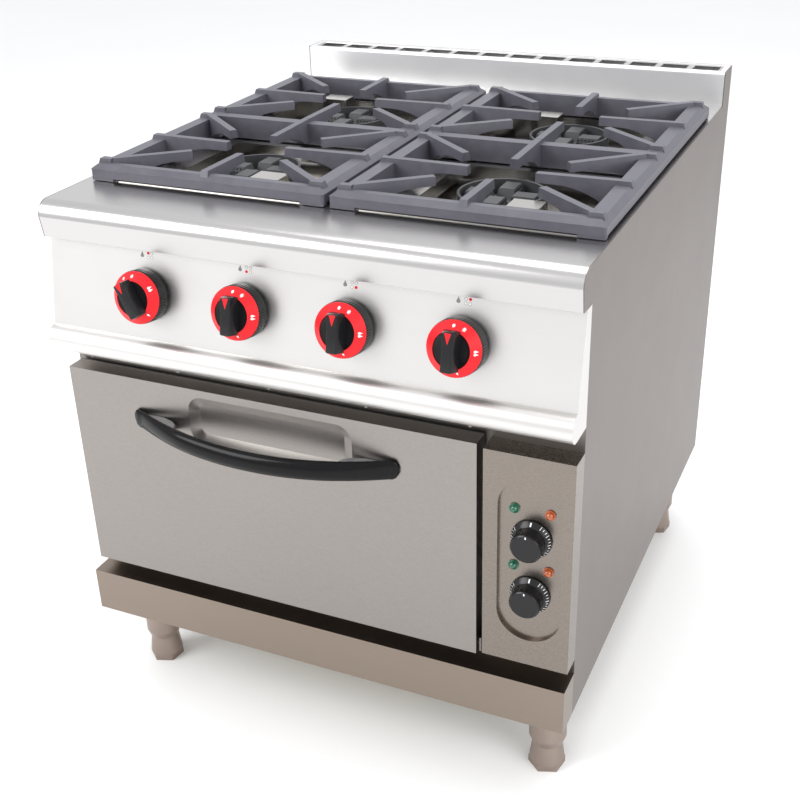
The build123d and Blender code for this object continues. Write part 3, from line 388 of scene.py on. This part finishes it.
# ---------------------------------------------------------------- finishes in use
class Finishes:
    """Every material in the scene, made once."""

    def __init__(self) -> None:
        self.deck = BrushedSteel("deck_steel", Axis.X, (0.54, 0.53, 0.525), 0.25).material()
        self.front = BrushedSteel("front_steel", Axis.X, (0.70, 0.685, 0.67), 0.38).material()
        # Painted shade: the side and back panels are plain stainless given a dark warm tone for the sides
        # turned away from the light.
        self.side = BrushedSteel("side_steel_painted_shade", Axis.Z, (0.205, 0.180, 0.168), 0.42, 0.03).material()
        # Painted shade: the plinth is plain stainless given a dark warm tone for the low front in shade.
        self.base = BrushedSteel("plinth_steel_painted_shade", Axis.X, (0.265, 0.218, 0.180), 0.30).material()
        self.riser = BrushedSteel("riser_steel", Axis.X, (0.80, 0.80, 0.80), 0.42).material()
        # Painted shade: the frame, hinge brackets and panel screws are stainless darkened to the shade of the
        # slot between door and control box.
        self.inner = BrushedSteel("frame_steel", Axis.X, (0.22, 0.205, 0.19), 0.40).material()
        # Painted shade: the door is stainless darkened for the shaded floor it reflects.
        self.door = SatinSteel("door_steel_painted_shade", (0.305, 0.283, 0.265), 0.34).material()
        # Painted shade: the control box is stainless darkened like the sides, for the shade it stands in.
        self.box = SatinSteel("box_steel_painted_shade", (0.240, 0.210, 0.185), 0.28).material()
        self.tray = BrushedSteel("tray_steel", Axis.X, (0.50, 0.485, 0.46), 0.20).material()
        # Painted shade: the leg sleeves and feet are stainless darkened for the shade under the range.
        self.leg = BrushedSteel("leg_steel", Axis.Z, (0.33, 0.268, 0.232), 0.34).material()
        self.grate = Casting("grate_iron", (0.078, 0.076, 0.094), (0.135, 0.132, 0.155), 0.42).material()
        self.burner = Casting("burner_iron", (0.045, 0.046, 0.05), (0.09, 0.09, 0.095), 0.5).material()
        # Painted shade: near-black balls stand for the dark inside of each burner port.
        self.port_shade = Moulded("port_hole_painted_shade", (0.004, 0.004, 0.004), 0.8).material()
        self.frame = Moulded("frame_paint", (0.06, 0.06, 0.06), 0.5).material()
        self.enamel = Moulded("oven_enamel", (0.02, 0.022, 0.03), 0.28, coat=0.4).material()
        self.wool = Moulded("mineral_wool", (0.60, 0.52, 0.34), 0.9, grain=320.0).material()
        self.element = Moulded("element_sheath", (0.08, 0.065, 0.06), 0.5, metal=0.8).material()
        self.chrome = BrushedSteel("wire_chrome", Axis.Y, (0.72, 0.72, 0.73), 0.12, 0.03).material()
        self.zinc = BrushedSteel("zinc_plate", Axis.Z, (0.55, 0.56, 0.58), 0.34).material()
        self.pipe = Moulded("pipe_coating", (0.16, 0.16, 0.165), 0.42, metal=0.7).material()
        self.brass = Moulded("valve_brass", (0.60, 0.42, 0.16), 0.3, metal=1.0).material()
        self.gasket = Moulded("seal_cord", (0.035, 0.035, 0.035), 0.75, grain=420.0).material()
        self.gloss = Moulded("handle_gloss", (0.003, 0.003, 0.0035), 0.16, shine=0.16).material()
        self.satin = Moulded("handle_end", (0.16, 0.16, 0.165), 0.36, metal=0.4).material()
        self.black = Moulded("knob_black", (0.007, 0.007, 0.008), 0.24, shine=0.30).material()
        self.plastic = Moulded("plain_black", (0.02, 0.02, 0.02), 0.45).material()
        self.red = Moulded("ring_red", (0.66, 0.008, 0.014), 0.42, shine=0.25).material()
        self.white = Moulded("print_white", (0.80, 0.80, 0.80), 0.45).material()
        self.grey = Moulded("print_grey", (0.20, 0.20, 0.20), 0.5).material()
        self.green = Moulded("lamp_green", (0.0, 0.085, 0.04), 0.12, coat=0.8, glow=0.03).material()
        self.orange = Moulded("lamp_orange", (0.33, 0.06, 0.004), 0.12, coat=0.8, glow=0.05).material()


class CadFinish:
    """Gives each CAD node that is kept its own material."""

    def __init__(self, finishes: Finishes) -> None:
        f = finishes
        self.table = {
            f.deck: ["hob_top", "flue_grille"],
            f.riser: ["backguard"],
            f.front: ["control_panel"],
            f.side: ["side_panel_left", "side_panel_right", "back_panel"],
            f.base: ["front_plinth"],
            f.inner: ["front_frame", "hinge_brackets", "control_panel_screws"],
            f.door: ["door_skin"],
            f.box: ["control_box"],
            f.tray: ["spill_tray_left", "spill_tray_right", "pilot_shields", "drip_pans"],
            f.leg: ["leg_sleeves", "foot_1", "foot_2", "foot_3", "foot_4"],
            f.grate: ["grate_left", "grate_right"],
            f.burner: ["burner_bodies", "burner_heads"],
            f.frame: ["base_frame"],
            f.enamel: ["oven_liner", "door_liner"],
            f.wool: ["oven_insulation", "door_insulation"],
            f.element: ["oven_element_top", "oven_element_bottom"],
            f.chrome: ["oven_shelf", "shelf_runners"],
            f.zinc: ["door_handle_screws", "oven_thermostats"],
            f.pipe: ["gas_manifold", "gas_inlet_pipe"],
            f.brass: ["gas_valves"] + [f"valve_spindle_{i}" for i in range(1, 5)],
            f.gasket: ["door_gasket"],
            f.plastic: ["terminal_block", "cable_gland"],
            f.green: ["lamps_green"],
            f.orange: ["lamps_orange"],
        }

    def dress(self) -> None:
        """Assigns the materials."""
        for material, names in self.table.items():
            for name in names:
                data = frame["nodes"][name].data
                data.materials.clear()
                data.materials.append(material)


# ---------------------------------------------------------------- knobs
def flame(size: float, centre: tuple, lean: float = 0.0) -> list:
    """Outline of a small flame, in millimetres."""
    half = [(0.0, -0.5), (0.28, -0.42), (0.40, -0.15), (0.26, 0.14), (0.14, 0.30), (0.05, 0.62)]
    points = half + [(-x, y) for x, y in reversed(half[1:])]
    c, s = cos(radians(lean)), sin(radians(lean))
    return [(centre[0] + size * (x * c - y * s), centre[1] + size * (x * s + y * c)) for x, y in points]


@dataclass
class GasKnob:
    """Skirted knob with a bar grip, red ring and printed marks, all sizes in millimetres."""

    number: int
    turned: float = 0.0
    skirt_r: float = 38.4
    ring_r: float = 37.4
    low: float = 5.6
    ring_low: float = 27.0
    inner_r: float = 25.0
    ring_high: float = 37.0
    reach: float = 52.0
    bore: float = 4.2
    back_r: float = 35.0
    cap_r: float = 20.0
    sunk: float = 3.2
    grip_len: float = 53.6
    grip_w: float = 24.0
    side_draft: float = 0.34
    end_draft: float = 0.03
    flutes: int = 60

    def _place(self) -> Matrix:
        """Placement on the knob axis, local Z out of the panel."""
        joint = next(j for j in frame["joints"] if j["name"] == f"gas_knob_{self.number}_turn")
        return facing(Vector(joint["pos_m"]), Vector(joint["axis"]))

    def build(self, finishes: Finishes) -> None:
        """Builds the knob and its ring in place of the plain solids."""
        place = self._place()
        knob = Shape(f"knob_body_{self.number}", place)
        face = self.ring_high - self.sunk
        knob.lathe([
            (self.bore, self.low),
            (self.back_r, self.low),
            (self.skirt_r - 1.2, self.low),
            (self.skirt_r - 0.4, self.low + 1),
            (self.ring_r - 0.4, self.ring_low - 1.6),
            (self.inner_r - 0.4, self.ring_high - 1.5),
            (self.inner_r - 1.2, self.ring_high - 2.0),
            (self.cap_r, face),
            (self.bore, face),
        ])
        for i in range(self.flutes):
            section = ((0, -0.9), (1.0, -0.45), (1.0, 0.45), (0, 0.9))
            rib = [(self.skirt_r - 1.4 + 1.1 * u, v) for u, v in section]
            knob.prism(turned_outline(rib, 2 * pi * i / self.flutes), self.low + 1.0, self.ring_low - 2.2)
        stub = self._bar(2 * self.inner_r - 7, self.grip_w)
        knob.prism(stub, self.ring_high - 5, self.ring_high + 0.6)
        grip = self._bar(self.grip_len, self.grip_w)
        faces = knob.prism(grip, self.ring_high + 0.4, self.reach - 0.2, bevel=0.9)
        self._narrow(knob, faces)
        pointer = turned_outline([(0.0, 10.5), (4.6, 25.2), (-4.6, 25.2)], radians(self.turned))
        knob.prism(pointer, self.reach - 0.6, self.reach - 0.05, slot=1)
        piece = knob.finish(f"knob_{self.number}", [finishes.black, finishes.red])
        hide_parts(f"gas_knob_{self.number}")
        self._ring(place, finishes)

    def _bar(self, length: float, width: float) -> list:
        """Waisted bar outline with blunt, slightly wider ends."""
        half, w = length / 2, width / 2
        waist = [(w * 0.93, half * 0.5), (w * 0.88, 0.0), (w * 0.93, -half * 0.5)]
        side = [(w, half - 1.0)] + waist + [(w, 1.0 - half)]
        end = [(w * 0.6, -half), (-w * 0.6, -half)]
        outline = side + end + [(-x, -y) for x, y in side] + [(-x, -y) for x, y in end]
        return turned_outline(outline, radians(self.turned))

    def _narrow(self, knob: Shape, faces: list) -> None:
        """Draws the grip in towards its front, as a moulded draft."""
        along = Vector((-sin(radians(self.turned)), cos(radians(self.turned)), 0))
        across = Vector((cos(radians(self.turned)), sin(radians(self.turned)), 0))
        for vert in {v for f in faces for v in f.verts}:
            rise = (vert.co.z / MM - self.ring_high) / (self.reach - self.ring_high)
            side = vert.co.dot(across)
            length = vert.co.dot(along)
            side *= 1.0 - self.side_draft * rise
            length *= 1.0 - self.end_draft * rise
            vert.co = along * length + across * side + Vector((0, 0, vert.co.z))

    def _on_ring(self, points: Sequence[tuple], radius: float, angle: float) -> list:
        """Moves a small mark to a clock angle on the ring."""
        return turned_outline([(x, y + radius) for x, y in points], radians(self.turned - angle))

    def _ring(self, place: Matrix, finishes: Finishes) -> None:
        """Builds the red ring and the marks printed on its slope."""
        ring = Shape(f"knob_dial_{self.number}", place)
        top, inner = self.ring_high, self.inner_r
        slope = (top - self.ring_low) / (self.ring_r - inner)
        ring.lathe([
            (self.ring_r, self.ring_low - 1.1),
            (self.ring_r, self.ring_low),
            (self.ring_r - 0.6, self.ring_low + 0.5),
            (inner + 0.4, top - 0.1),
            (inner, top - 0.5),
            (inner, top - 1.2),
        ])
        radii = [3.0, 1.2] * 8
        star = [(r * sin(pi * i / 8), r * cos(pi * i / 8)) for i, r in enumerate(radii)]
        marks = [
            (circle(1.9, 16), 0.0),
            (star, 27.0),
            (flame(4.4, (-1.9, 0.0)), 90.0),
            (flame(4.4, (1.9, 0.0)), 90.0),
            (flame(3.6, (0.0, 0.0)), 164.0),
        ]
        middle = (self.ring_r + inner) / 2
        height = top - 0.1 - (middle - inner) * slope
        for outline, angle in marks:
            faces = ring.prism(self._on_ring(outline, middle, angle), height - 0.3, height + 0.35, slot=1)
            for vert in {v for f in faces for v in f.verts}:
                vert.co.z -= (vert.co.xy.length / MM - middle) * slope * MM
        piece = ring.finish(f"knob_{self.number}", [finishes.red, finishes.white])
        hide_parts(f"knob_ring_{self.number}")


@dataclass
class OvenDial:
    """Thermostat knob: scale skirt, ribbed cap and a pointer, in millimetres."""

    name: str
    skirt_r: float = 28.7
    cap_r: float = 22.4
    skirt: float = 8.0
    rim: float = 2.2
    reach: float = 27.9
    flutes: int = 36
    ticks: int = 28
    first_tick: float = -32.0
    sweep: float = 270.0
    print_h: float = 0.3

    def _print(self, dial: Shape, outline: Sequence[tuple], low: float, slope: float) -> None:
        """Prints a mark on the sloping skirt.

        Args:
            dial: Mesh that takes the mark.
            outline: Mark seen from the front, in millimetres.
            low: Height of the mark's back at the skirt's rim.
            slope: Rise of the skirt for each millimetre inwards.
        """
        faces = dial.prism(outline, low, low + self.print_h, slot=1)
        for vert in {v for f in faces for v in f.verts}:
            vert.co.z += (self.skirt_r - vert.co.xy.length / MM) * slope * MM

    def build(self, finishes: Finishes) -> None:
        """Builds the dial in place of the plain solid."""
        low, high = (Vector(corner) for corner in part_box(f"thermostat_knob_{self.name}"))
        centre = (low + high) / 2
        place = facing(Vector((centre.x, high.y, centre.z)), Vector((0, -1, 0)))
        dial = Shape(f"dial_{self.name}", place)
        back, face, bore, bored = 0.2, self.reach - 0.2, 3.2, 22.2
        rim = self.rim
        dial.lathe([
            (bore, back),
            (self.skirt_r, back),
            (self.skirt_r, rim),
            (self.cap_r + 1, self.skirt),
            (self.cap_r, self.skirt + 0.6),
            (self.cap_r - 1.2, self.reach - 1.6),
            (self.cap_r - 2.8, face),
            (0.0, face),
            (0.0, bored),
            (bore, bored),
        ])
        for i in range(self.flutes):
            section = ((0, -1.2), (1.0, -0.6), (1.0, 0.6), (0, 1.2))
            rib = [(self.cap_r - 1.6 + 1.5 * u, v) for u, v in section]
            dial.prism(turned_outline(rib, 2 * pi * i / self.flutes), self.skirt, self.reach - 2.4)
        slope = (self.skirt - rim) / (self.skirt_r - self.cap_r - 1)
        for i in range(self.ticks):
            a = radians(self.first_tick - i * self.sweep / (self.ticks - 1))
            span = (24.6, 28.2) if i % 3 == 0 else (25.6, 27.8)
            tick = [(-0.35, span[0]), (0.35, span[0]), (0.35, span[1]), (-0.35, span[1])]
            self._print(dial, turned_outline(tick, a), rim, slope)
        pointer = [(-0.8, 16.0), (0.8, 16.0), (0.8, self.cap_r - 3.0), (-0.8, self.cap_r - 3.0)]
        dial.prism(pointer, self.reach - 1.2, self.reach - 0.1, slot=1)
        near, far = self.cap_r + 1.5, self.skirt_r - 1.0
        mark = [(-1.0, near), (1.0, near), (1.0, far), (-1.0, far)]
        self._print(dial, mark, rim + 0.1, slope)
        piece = dial.finish(f"dial_{self.name}", [finishes.black, finishes.white])
        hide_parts(f"thermostat_knob_{self.name}")


# ---------------------------------------------------------------- handle
@dataclass
class BowHandle:
    """Bow handle with leaf-shaped ends that lie on the door, in millimetres."""

    length: float = 434.0
    reach: float = 46.0
    drop: float = 8.0
    half_height: float = 15.2
    middle_half: float = 10.0
    end_half: float = 3.6
    steps: int = 72
    web_low: float = 5.0
    web_high: float = 15.5

    def _section(self, at: float) -> tuple:
        """Centre offset, half height and half thickness at a place from -1 to 1."""
        u = abs(at)
        bow = self.reach * (1 - (u / 0.98) ** 2.1) if u < 0.98 else 0.0
        end = max(0.0, (u - 0.55) / 0.45)
        round_off = max(0.0, (u - 0.93) / 0.07)
        closing = (max(0.10, 1 - round_off**3)) ** 0.5
        half_h = self.half_height * closing
        half_t = (self.middle_half - (self.middle_half - self.end_half) * end) * closing
        return bow, self.drop * (u**2), half_h, half_t

    def _web(self, side: int) -> list:
        """Leaf-shaped flat between one end of the bow and the door, seen from above."""
        places = [0.60 + 0.04 * i for i in range(10)]
        bow = [(side * at * self.length / 2, -self._section(at)[0] - 0.5) for at in places]
        door_side = ((0.955, -0.4), (0.76, -0.4), (0.68, -6.0), (0.63, -14.0))
        return bow + [(side * x * self.length / 2, y) for x, y in door_side]

    def build(self, finishes: Finishes) -> None:
        """Lofts the bow from oval rings bridged along its length."""
        low, high = (Vector(corner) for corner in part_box("door_handle"))
        origin = Vector(((low.x + high.x) / 2, high.y, low.z))
        centre_z = (high.z - low.z) / 2 / MM - self.drop / 2
        shape = Shape("handle_bow", Matrix.Translation(origin))
        loops = []
        for i in range(self.steps + 1):
            at = -1 + 2 * i / self.steps
            at = (abs(at) ** 0.8) * (1 if at > 0 else -1)
            bow, rise, half_h, half_t = self._section(at)
            ring = bmesh.ops.create_circle(shape.mesh, cap_ends=False, radius=1.0, segments=28)["verts"]
            out = max(bow, half_t + 0.25)
            for vert in ring:
                x, y = vert.co.x, vert.co.y
                flat = 1.0 if y < 0 else 0.8
                depth = -out + half_t * flat * y
                vert.co = Vector((at * self.length / 2, depth, centre_z + rise + half_h * x)) * MM
            loops.append(list({e for v in ring for e in v.link_edges}))
        for one, two in zip(loops, loops[1:]):
            bmesh.ops.bridge_loops(shape.mesh, edges=one + two)
        bmesh.ops.holes_fill(shape.mesh, edges=loops[0] + loops[-1], sides=0)
        for side in (-1, 1):
            shape.prism(self._web(side), centre_z - self.web_low, centre_z + self.web_high, slot=1, bevel=1.0)
        piece = shape.finish("door", [finishes.gloss, finishes.satin], 60.0)
        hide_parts("door_handle")


# ---------------------------------------------------------------- small pieces
@dataclass
class BurnerPorts:
    """Rows of flame ports on the four arms of each burner, each a near-black ball of painted shade for the
    dark inside of the port, in millimetres.
    """

    pitch: float = 6.0
    hole_r: float = 1.6
    first: float = 19.0
    count: int = 6
    rows: tuple = ((3.5, 12.4), (9.0, 13.9))
    head_r: float = 56.0

    def _arm(self, shape: Shape, centre: Vector, quarter: int) -> None:
        """Puts two rows of ports, as balls of painted shade, on each side of one arm.

        Args:
            shape: Mesh that takes the ports.
            centre: Top of the burner's middle, in millimetres.
            quarter: Quarter turns of the arm from the X axis.
        """
        c, s = round(cos(quarter * pi / 2)), round(sin(quarter * pi / 2))
        for side in (-1, 1):
            for level, across in self.rows:
                for i in range(self.count):
                    u = self.first + i * self.pitch
                    row = side * across
                    at = centre + Vector((u * c - row * s, u * s + row * c, -level))
                    ball = bmesh.ops.create_icosphere(shape.mesh, subdivisions=1, radius=self.hole_r * MM)
                    bmesh.ops.translate(shape.mesh, verts=ball["verts"], vec=at * MM)

    def build(self, finishes: Finishes) -> None:
        """Puts the port rows, balls of painted shade, on every burner."""
        low, high = (Vector(corner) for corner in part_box("burner_heads"))
        half = Vector((self.head_r, self.head_r)) * MM
        shape = Shape("burner_ports_painted_shade")
        for cx in (low.x + half.x, high.x - half.x):
            for cy in (low.y + half.y, high.y - half.y):
                centre = Vector((cx / MM, cy / MM, high.z / MM))
                for quarter in range(4):
                    self._arm(shape, centre, quarter)
        shape.finish("body", [finishes.port_shade])


@dataclass
class PanelPrint:
    """Burner position diagram and flame printed above each gas knob, in millimetres."""

    up: float = 56.0
    pitch: float = 6.0

    def build(self, finishes: Finishes) -> None:
        """Prints the marks on the leaning panel."""
        marks = Shape("panel_marks")
        for number, own in zip(range(1, 5), ((0, 1), (0, 0), (1, 0), (1, 1))):
            joint = next(j for j in frame["joints"] if j["name"] == f"gas_knob_{number}_turn")
            place = facing(Vector(joint["pos_m"]), Vector(joint["axis"]))
            print_ = Shape("one", place)
            for i in range(2):
                for j in range(2):
                    slot = 1 if (i, j) == own else 0
                    at = (i * self.pitch + 2, self.up + (j - 0.5) * self.pitch)
                    print_.prism(circle(2.1, 20, at), 0.02, 0.14, slot=slot)
                    if not slot:
                        print_.prism(circle(1.5, 20, at), 0.03, 0.16, slot=2)
            print_.prism(flame(7.5, (-8.0, self.up)), 0.02, 0.14)
            bmesh.ops.transform(print_.mesh, matrix=place, verts=print_.mesh.verts)
            data = bpy.data.meshes.new("one")
            print_.mesh.to_mesh(data)
            print_.mesh.free()
            marks.mesh.from_mesh(data)
            bpy.data.meshes.remove(data)
        marks.finish("body", [finishes.grey, finishes.red, finishes.white])


# ---------------------------------------------------------------- studio
@dataclass
class Studio:
    """Floor, lights and camera."""

    eye: tuple = (0.75349, -1.73355, 1.37212)
    azimuth: float = 24.80
    elevation: float = 27.30
    roll: float = -1.71
    lens: float = 54.49

    def _area(self, name: str, at: tuple, aim: tuple, size: float, power: float) -> None:
        """One soft square light pointed at a place."""
        data = bpy.data.lights.new(name, "AREA")
        data.shape = "SQUARE"
        data.size = size
        data.energy = power
        lamp = bpy.data.objects.new(name, data)
        lamp.location = at
        lamp.rotation_euler = (Vector(aim) - Vector(at)).to_track_quat("-Z", "Y").to_euler()
        bpy.context.scene.collection.objects.link(lamp)

    def build(self) -> None:
        """Makes the floor, the lights, the surroundings and the camera."""
        floor_tree = Tree("floor_pale")
        cloud = floor_tree.noise((0.8, 0.8, 0.8), 2.0)
        floor_tree.drive(Base_Color=floor_tree.mix(cloud, (0.86, 0.86, 0.86), (0.90, 0.90, 0.90)))
        floor_tree.fix(Roughness=0.9)
        mesh = bmesh.new()
        bmesh.ops.create_grid(mesh, x_segments=1, y_segments=1, size=12.0)
        data = bpy.data.meshes.new("floor")
        mesh.to_mesh(data)
        mesh.free()
        data.materials.append(floor_tree.material)
        floor = bpy.data.objects.new("floor", data)
        bpy.context.scene.collection.objects.link(floor)
        world = bpy.data.worlds.new("studio")
        world.use_nodes = True
        world.node_tree.nodes["Background"].inputs["Color"].default_value = (0.98, 0.985, 1.0, 1.0)
        world.node_tree.nodes["Background"].inputs["Strength"].default_value = 1.05
        bpy.context.scene.world = world
        middle = (0.0, 0.0, 0.6)
        self._area("key", (-2.2, -2.6, 2.6), middle, 2.0, 85.0)
        self._area("fill", (2.8, -1.6, 1.8), middle, 2.0, 40.0)
        self._area("top", (0.2, 0.6, 3.2), middle, 2.4, 60.0)
        bpy.context.scene.view_settings.view_transform = "Standard"
        self._camera()

    def _camera(self) -> None:
        """Sets the camera from its place and angles."""
        az, el, roll = radians(self.azimuth), radians(self.elevation), radians(self.roll)
        forward = Vector((-sin(az) * cos(el), cos(az) * cos(el), -sin(el)))
        right = Vector((cos(az), sin(az), 0.0))
        up = right.cross(forward)
        side = right * cos(roll) + up * sin(roll)
        head = up * cos(roll) - right * sin(roll)
        data = bpy.data.cameras.new("view")
        data.lens = self.lens
        data.sensor_width = 36.0
        camera = bpy.data.objects.new("view", data)
        turn = Matrix((side, head, -forward)).transposed().to_4x4()
        camera.matrix_world = Matrix.Translation(self.eye) @ turn
        bpy.context.scene.collection.objects.link(camera)
        bpy.context.scene.camera = camera


def main() -> None:
    """Builds everything in order."""
    logging.basicConfig(level=logging.INFO)
    finishes = Finishes()
    CadFinish(finishes).dress()
    LOG.info("finishes on %d nodes", len(frame["nodes"]))
    for number in range(1, 5):
        GasKnob(number, 33.0 if number == 1 else 0.0).build(finishes)
    for name in ("upper", "lower"):
        OvenDial(name).build(finishes)
    BowHandle().build(finishes)
    BurnerPorts().build(finishes)
    PanelPrint().build(finishes)
    Studio().build()


if __name__ == "__main__":
    main()
